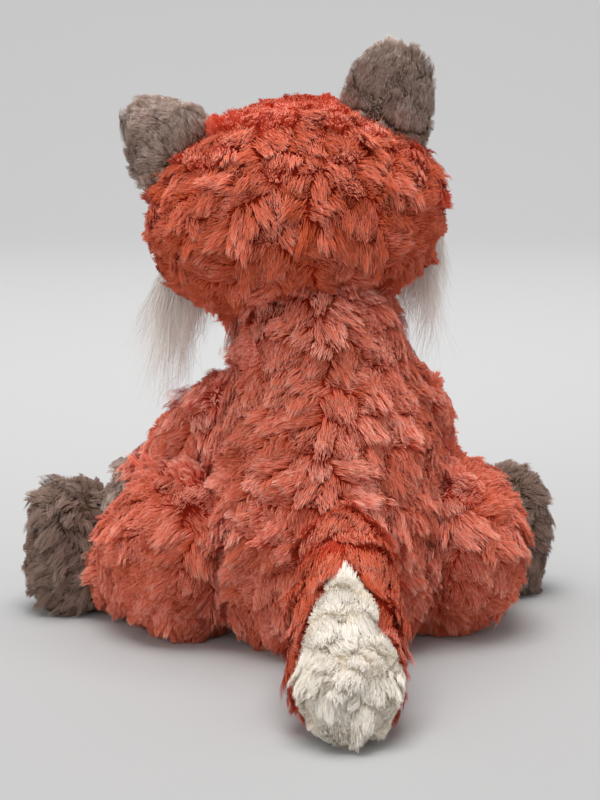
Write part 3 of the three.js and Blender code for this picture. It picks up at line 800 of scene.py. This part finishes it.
# The head's hair is drawn darker than the rest of the coral pile: painted shade.
HEAD_HAIR = dict(CORAL_HAIR, lock_spacing=8.5 * MM, tousle=1.1, lift=7 * MM, shade=-0.4)
plush("head", [("head_plush", ["head_cover"], CORAL, HEAD_HAIR)], head_lay,
      ["torso_cover", "left_ear_cover", "right_ear_cover", "muzzle_cover"], inside=["head_filling"],
      seed=23, upright=crown_upright, trimmed=head_trimmed, swell=2.5 * MM)


# Muzzle. A short cream pile snout let into the face, with a polished plastic nose and two eyes, each
# a bead whose stem goes through the cloth and is locked behind it by a washer.
# Cream plush is an undyed polyester pile, brushed: bright, with warm shadows and a strong, soft sheen.
CREAM = (pile_material("cream_plush_pile", "#f0e6d2", "#f3e9d8", "#f6eee2", "#faf5ec", 1.0), "cream_pile")
SHORT_CREAM_HAIR = dict(lock_spacing=5 * MM, tuft_spacing=1.6 * MM, hairs_per_area=2.6e6, length=5 * MM,
                        width=0.42 * MM, lift=1.5 * MM, gather=0.4, tousle=0.4, fray=0.8 * MM)


def away_from(point, drop=0.0):
    """A way to lie that spreads from a point, and falls by drop."""
    def lay(places, normals):
        ways = places - np.array(point) * MM
        ways /= np.linalg.norm(ways, axis=1, keepdims=True)
        ways[:, 2] -= drop
        return ways
    return lay


MUZZLE_SEAM = 1.5 * MM
MUZZLE_FILLED_BY = 1.5 * MM
MUZZLE_SPREAD_FROM = (13, -120, 200)


def muzzle_piece():
    skin = skin_from("muzzle_skin", ["muzzle_cover", "muzzle_filling"], 3 * MM)
    places, _ = points_of(skin)
    puff(skin, distances(places, ["head_cover", "nose"]) < CROWDED, MUZZLE_FILLED_BY)
    places, normals = points_of(skin)
    naps = distances(places, ["head_cover", "nose"]) > MUZZLE_SEAM
    comb(skin, away_from(MUZZLE_SPREAD_FROM)(places, normals), normals, naps, np.zeros(len(places)),
         np.zeros(len(skin.data.polygons)))
    piece = grow("muzzle_plush", skin, CREAM[0], seed=31, **SHORT_CREAM_HAIR)
    bpy.data.objects.remove(skin)
    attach(piece, "head")
    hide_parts("muzzle_cover", "muzzle_filling")


muzzle_piece()


SCUFFS_PER_METRE = 900.0


def bead_material():
    """Moulded and polished dark brown plastic, which looks wet: a clear, sharp shine, broken a little by
    faint scuffs about 1 mm long."""
    material, tree, output = new_material("polished_dark_plastic")
    place = add_node(tree, "ShaderNodeTexCoord").outputs["Object"]
    scuffs = add_node(tree, "ShaderNodeTexNoise",
                      inputs={"Vector": place, "Scale": SCUFFS_PER_METRE, "Detail": 3.0})
    rough = add_node(tree, "ShaderNodeMapRange", inputs={"Value": scuffs, "To Min": 0.06, "To Max": 0.16})
    ramp = add_node(tree, "ShaderNodeValToRGB", inputs=[scuffs])
    ramp.color_ramp.elements[0].color = linear("#120b08")
    ramp.color_ramp.elements[1].color = linear("#1f1410")
    surface = add_node(tree, "ShaderNodeBsdfPrincipled",
                       inputs={"Base Color": ramp, "Roughness": rough, "IOR": 1.5})
    tree.links.new(first_output(surface), output.inputs["Surface"])
    return material


polished = bead_material()
for node in ("nose", "left_eye", "right_eye"):
    bead = skin_from(node + "_bead", [node], 0.6 * MM, smoothing=12)
    bead.data.materials.clear()
    bead.data.materials.append(polished)
    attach(bead, "head")
    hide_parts(node)


# Cheek tufts. A lock of long, fine white hair is caught in the seam on each side of the jaw. It falls
# down and out in thin wisps.
def white_hair_material():
    """Long straight acrylic hair: satin, so that each strand has a thin bright line and the lock as a
    whole looks white, with grey where it is deep."""
    material, tree, output = new_material("long_white_hair")
    along = add_node(tree, "ShaderNodeAttribute", {"attribute_name": "along"}).outputs["Fac"]
    tint = add_node(tree, "ShaderNodeAttribute", {"attribute_name": "tint"}).outputs["Fac"]
    ramp = add_node(tree, "ShaderNodeValToRGB", inputs=[along])
    ramp.color_ramp.elements[0].color = linear("#fbeee4")
    ramp.color_ramp.elements[1].color = linear("#fffaf5")
    lightness = add_node(tree, "ShaderNodeMapRange", inputs={"Value": tint, "To Min": 0.9, "To Max": 1.1})
    colored = add_node(tree, "ShaderNodeHueSaturation", inputs={"Value": lightness, "Color": ramp})
    surface = add_node(tree, "ShaderNodeBsdfPrincipled", inputs={
        "Base Color": colored, "Roughness": 0.4, "Specular IOR Level": 0.7, "Sheen Weight": 1.0,
    })
    tree.links.new(first_output(surface), output.inputs["Surface"])
    return material


white_hair = white_hair_material()
CHEEK_HAIR = dict(lock_spacing=4 * MM, tuft_spacing=2.2 * MM, hairs_per_area=6e6, length=50 * MM,
                  width=0.14 * MM, lift=1 * MM, gather=0.2, tousle=0.25, fray=21 * MM)
CHEEK_STUB = 0.3
CHEEK_BACKWARD = 0.15
CHEEK_OUTWARD = {"left": 0.25, "right": 0.0}
for name, outward in CHEEK_OUTWARD.items():
    skin = skin_from(name + "_cheek_skin", [name + "_cheek_tuft"], 2 * MM)
    places, normals = points_of(skin)
    top = places[:, 2].max()
    places[:, 2] = top - (top - places[:, 2]) * CHEEK_STUB
    skin.data.vertices.foreach_set("co", places.ravel())
    skin.data.update()
    places, normals = points_of(skin)
    ways = np.tile(np.array([outward, CHEEK_BACKWARD, -1.0]), (len(places), 1))
    still = np.zeros(len(places))
    comb(skin, ways, 0 * normals, still + 1, still, np.zeros(len(skin.data.polygons)))
    hair = grow(name + "_cheek_hair", skin, white_hair, seed=41, **CHEEK_HAIR)
    bpy.data.objects.remove(skin)
    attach(hair, "head")
    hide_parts(name + "_cheek_tuft")


# Ears. Two cloths sewn back to back and hardly stuffed: shaggy taupe behind and cream in front. Each is
# turned right side out and sewn into the head's seam by its lower edge.
#
# Shaggy taupe pile is brushed polyester: dull and greyish brown, with dark roots that are painted shade and
# pale, frosted-looking tips that are partly painted sheen.
TAUPE = (pile_material("taupe_shaggy_pile", "#65503f", "#907769", "#a98f82", "#dccdc3", 0.4), "taupe_pile")
TAUPE_HAIR = dict(lock_spacing=7 * MM, tuft_spacing=1.8 * MM, hairs_per_area=5e6, length=8 * MM,
                  width=0.25 * MM, lift=8 * MM, gather=0.1, tousle=0.6, fray=1.5 * MM)


FLUFF = 0.2


def fluffed(places, normals):
    return np.full(len(places), FLUFF)


# The ears' hair is drawn a little darker than the taupe paws: painted shade.
EAR_HAIR = dict(TAUPE_HAIR, lock_spacing=8 * MM, tuft_spacing=1.6 * MM, hairs_per_area=8e6, length=6 * MM,
                width=0.2 * MM, lift=4.5 * MM, gather=0.0, tousle=0.5, fray=1.4 * MM, shade=-0.25)
EAR_ROOTS = {"left": (42, -7, 203), "right": (-17, -7, 206)}
for name, root in EAR_ROOTS.items():
    plush(name + "_ear", [(name + "_ear_plush", [name + "_ear_cover"], TAUPE, EAR_HAIR),
                          (name + "_ear_lining_plush", [name + "_ear_lining"], CREAM, SHORT_CREAM_HAIR)],
          away_from(root), ["head_cover"], voxel=2.5 * MM, seed=51, upright=fluffed,
          swell=3 * MM)


# Arms. Slim sleeves of the coral pile, stuffed with fibre and sewn to the shoulders. Each ends in a paw
# of the taupe pile, sewn on round the wrist.
ARM_HAIR_DROP = 0.4


def towards(direction, drop):
    def lay(places, normals):
        ways = np.tile(np.array(direction, float), (len(places), 1))
        ways /= np.linalg.norm(ways[0])
        ways[:, 2] -= drop
        return ways
    return lay


for name in ("left", "right"):
    lo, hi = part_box(name + "_paw_cover")
    start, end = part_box(name + "_arm_cover")
    direction = (lo + hi) / 2 - (start + end) / 2
    plush(name + "_arm", [(name + "_arm_plush", [name + "_arm_cover"], CORAL, CORAL_HAIR),
                          (name + "_paw_plush", [name + "_paw_cover"], TAUPE, TAUPE_HAIR)],
          towards(direction, ARM_HAIR_DROP), ["torso_cover", name + "_leg_cover"],
          inside=[name + "_arm_filling"], voxel=3 * MM, seed=61)


# Legs. Plump coral thighs and shins that lie on the floor, sewn to the seat, each with a taupe foot
# sewn on round the ankle.
# The feet's hair is drawn darker than the taupe paws: painted shade.
FOOT_HAIR = dict(TAUPE_HAIR, length=7.5 * MM, lift=6.5 * MM, shade=-0.6)
LEG_HAIR_DROP = 1.2
for name in ("left", "right"):
    lo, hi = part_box(name + "_foot_cover")
    start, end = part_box(name + "_leg_cover")
    direction = (lo + hi) / 2 - (start + end) / 2
    plush(name + "_leg", [(name + "_leg_plush", [name + "_leg_cover"], CORAL, CORAL_HAIR),
                          (name + "_foot_plush", [name + "_foot_cover"], TAUPE, FOOT_HAIR)],
          towards(direction, LEG_HAIR_DROP), ["torso_cover", name + "_arm_cover", name + "_paw_cover"],
          inside=[name + "_leg_filling"], seed=71)


# Tail. A stuffed coral tube that lies back along the floor, with a cream tip let in as a wedge on its
# upper side.
CREAM_HAIR = dict(lock_spacing=9 * MM, tuft_spacing=1.5 * MM, hairs_per_area=10e6, length=7 * MM,
                  width=0.2 * MM, lift=4 * MM, gather=0.0, tousle=0.7, fray=1.6 * MM, shade=0.0)
# The coral hair on the tail is drawn darker than the rest of the coral pile: painted shade.
TAIL_HAIR = dict(CORAL_HAIR, length=11 * MM, lift=4.5 * MM, tousle=0.5, shade=-0.45)
tail_start, tail_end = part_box("tail_tip_cover")
TAIL_SWIRL = np.array([(tail_start[0] + tail_end[0]) / 2, tail_end[1] - 2 * MM, -4 * MM])


TAIL_TIP_PLACES = [120, 150]
TAIL_TIP_FLUFF = [0.2, 0.5]
CREAM_PLACES = [105, 120, 131, 138, 146]
CREAM_REACHES = [-0.8, -0.3, 1, 3.2, 7]


def tail_lay(places, normals):
    """Back along the tail, and together at its end."""
    ways = TAIL_SWIRL - places
    return ways / np.linalg.norm(ways, axis=1, keepdims=True)


def tail_fluffed(places, normals):
    """Fuller towards the tail's end."""
    return np.interp(places[:, 1] / MM, TAIL_TIP_PLACES, TAIL_TIP_FLUFF)


def cream_reach(middles):
    """How much further than its seam the cream reaches: little near its point, far at the tail's end."""
    return np.interp(middles[:, 1] / MM, CREAM_PLACES, CREAM_REACHES) * MM


plush("tail", [("tail_plush", ["tail_cover"], CORAL, TAIL_HAIR),
               ("tail_tip_plush", ["tail_tip_cover"], CREAM, CREAM_HAIR)],
      tail_lay, ["torso_cover"], inside=["tail_filling"], voxel=3 * MM, seed=81, upright=tail_fluffed,
      let_in=cream_reach, swell=3.5 * MM, lump=4.5 * MM)


# Seat. A woven pouch of plastic pellets lies inside the torso, and plain washers lock the beads
# inside the head. None of them is seen.
def plain_material(name, dark, light, scale, roughness):
    """A plain, pale surface broken into small cells: matt threads in cotton, the faint waxy gloss of
    pellets, or dull nylon. A cotton thread of 0.2 mm is too fine to show, so its cells are 0.7 mm."""
    material, tree, output = new_material(name)
    place = add_node(tree, "ShaderNodeTexCoord").outputs["Object"]
    grain = add_node(tree, "ShaderNodeTexVoronoi", inputs={"Vector": place, "Scale": scale})
    ramp = add_node(tree, "ShaderNodeValToRGB", inputs=[grain])
    ramp.color_ramp.elements[0].color = linear(light)
    ramp.color_ramp.elements[1].color = linear(dark)
    surface = add_node(tree, "ShaderNodeBsdfPrincipled", inputs={"Base Color": ramp, "Roughness": roughness})
    tree.links.new(first_output(surface), output.inputs["Surface"])
    return material


INNER = {
    "pellet_pouch": plain_material("plain_woven_cotton", "#b3aa98", "#cfc8b8", scale=1400.0, roughness=0.9),
    "pellet_fill": plain_material("polyethylene_pellets", "#b9b9b2", "#dcdcd6", scale=300.0, roughness=0.4),
    "washer": plain_material("moulded_nylon", "#d8d3c8", "#e4e0d6", scale=500.0, roughness=0.5),
}
for node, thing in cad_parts.items():
    for ending, material in INNER.items():
        if node.endswith(ending):
            thing.data.materials.clear()
            thing.data.materials.append(material)

lo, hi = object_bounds()
